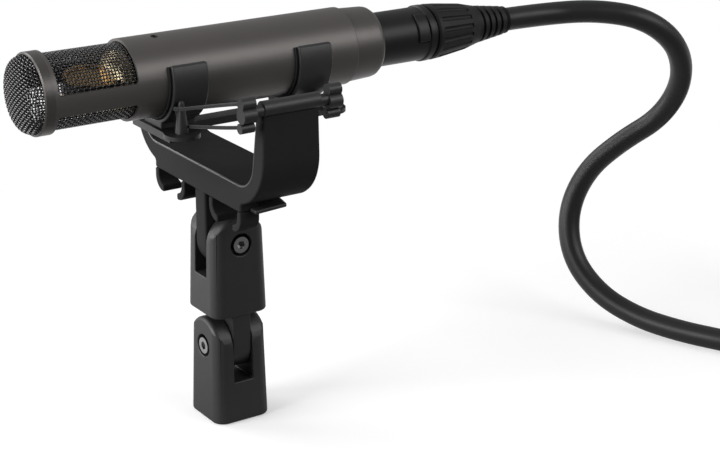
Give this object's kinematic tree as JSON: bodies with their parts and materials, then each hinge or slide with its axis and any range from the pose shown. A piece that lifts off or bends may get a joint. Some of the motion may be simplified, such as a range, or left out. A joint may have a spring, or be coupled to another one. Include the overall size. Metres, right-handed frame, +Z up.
{
  "type": "pencil microphone in an elastic suspension mount",
  "caption": "Slim windowed-grille studio microphone held in an elastic suspension yoke on a swivel stand adapter, with its plugged-in cable coiled beside it.",
  "frame": {"origin": "centre of the stand thread's mouth, on the underside of the swivel adapter's foot", "axes": "+Z up along the stand thread; the microphone lies along X, its mesh front looks to -X and its cable leaves to +X; +Y across the yoke"},
  "size_m": [0.4297, 0.1516, 0.1405],
  "materials": {
    "plastic_black": "satin moulded plastic, fine texture",
    "brass": "plain turned brass, internal thread",
    "screw_steel": "bright zinc-plated steel",
    "elastic": "matt round rubber",
    "rubber": "matt soft rubber",
    "mic_body": "matt warm grey nickel",
    "mesh": "woven wire, grey",
    "capsule_plastic": "matt moulded plastic",
    "gold": "gold plated, polished",
    "chassis": "milled aluminium",
    "board": "green laminate with solder mask",
    "capacitor": "glossy moulded cases",
    "mic_cap": "matt dark grey",
    "plug_black": "satin black",
    "plug_collar": "satin moulded plastic",
    "cable": "satin cable jacket",
    "strap": "woven hook-and-loop tape"
  },
  "bodies": {
    "foot": {"lower_clevis": "plastic_black", "thread_insert": "brass", "lower_pivot_screw": "screw_steel", "lower_pivot_nut": "screw_steel"},
    "middle": {"upper_clevis": "plastic_black", "upper_pivot_screw": "screw_steel", "upper_pivot_nut": "screw_steel"},
    "bracket": {"yoke": "plastic_black", "near_hook_bar": "plastic_black", "far_hook_bar": "plastic_black", "near_cable_hook": "plastic_black", "far_cable_hook": "plastic_black", "rest_plate": "plastic_black", "front_near_elastic": "elastic", "rear_near_elastic": "elastic", "front_far_elastic": "elastic", "rear_far_elastic": "elastic"},
    "cradle": {"cradle_rail": "plastic_black", "front_clip": "plastic_black", "front_lining": "rubber", "rear_clip": "plastic_black", "rear_lining": "rubber", "front_post_bar": "plastic_black", "rear_post_bar": "plastic_black"},
    "microphone": {"body_tube": "mic_body", "set_screw": "screw_steel", "front_ring": "mic_body", "side_mesh": "mesh", "front_mesh": "mesh", "capsule_body": "capsule_plastic", "capsule_rings": "gold", "capsule_diaphragms": "gold", "capsule_stem": "capsule_plastic", "capsule_bulkhead": "capsule_plastic", "chassis_rails": "chassis", "circuit_board": "board", "output_transformer": "chassis", "film_capacitors": "capacitor", "rear_cap": "mic_cap", "connector_insert": "capsule_plastic", "contact_pins": "gold"},
    "plug": {"plug_shell": "plug_black", "plug_insert": "capsule_plastic", "contact_sleeves": "gold", "plug_clamp": "plug_collar", "plug_collar": "plug_collar", "plug_boot": "plug_collar", "cable_run": "cable", "cable_coil": "cable", "cable_strap": "strap", "cable_tail": "cable", "far_plug_shell": "plug_black", "far_plug_insert": "capsule_plastic", "far_plug_pins": "gold", "far_plug_collar": "plug_collar", "far_plug_boot": "plug_collar"},
    "latch": {"latch_button": "plug_black"}
  },
  "joints": [
    {"name": "lower_swivel", "type": "hinge", "parent": "foot", "child": "middle", "pos_m": [0, 0, 0.0272], "axis": [1, 0, 0], "range_deg": [-90, 90]},
    {"name": "upper_swivel", "type": "hinge", "parent": "middle", "child": "bracket", "pos_m": [0, 0, 0.0658], "axis": [0, 1, 0], "range_deg": [-90, 90]},
    {"name": "suspension", "type": "slide", "parent": "bracket", "child": "cradle", "axis": [0, 0, 1], "range_m": [-0.003, 0.003], "stiffness_N_per_m": 3000, "springref_m": 0.0011, "deforming": ["front_near_elastic", "rear_near_elastic", "front_far_elastic", "rear_far_elastic"]},
    {"name": "microphone_roll", "type": "hinge", "parent": "cradle", "child": "microphone", "pos_m": [0, 0, 0.127], "axis": [1, 0, 0], "range_deg": [-180, 180]},
    {"name": "plug_release", "type": "slide", "parent": "microphone", "child": "plug", "axis": [1, 0, 0], "range_m": [0, 0.016]},
    {"name": "latch_press", "type": "slide", "parent": "plug", "child": "latch", "axis": [0, 0.891, -0.454], "range_m": [0, 0.0012], "stiffness_N_per_m": 800, "springref_m": -0.0005}
  ]
}
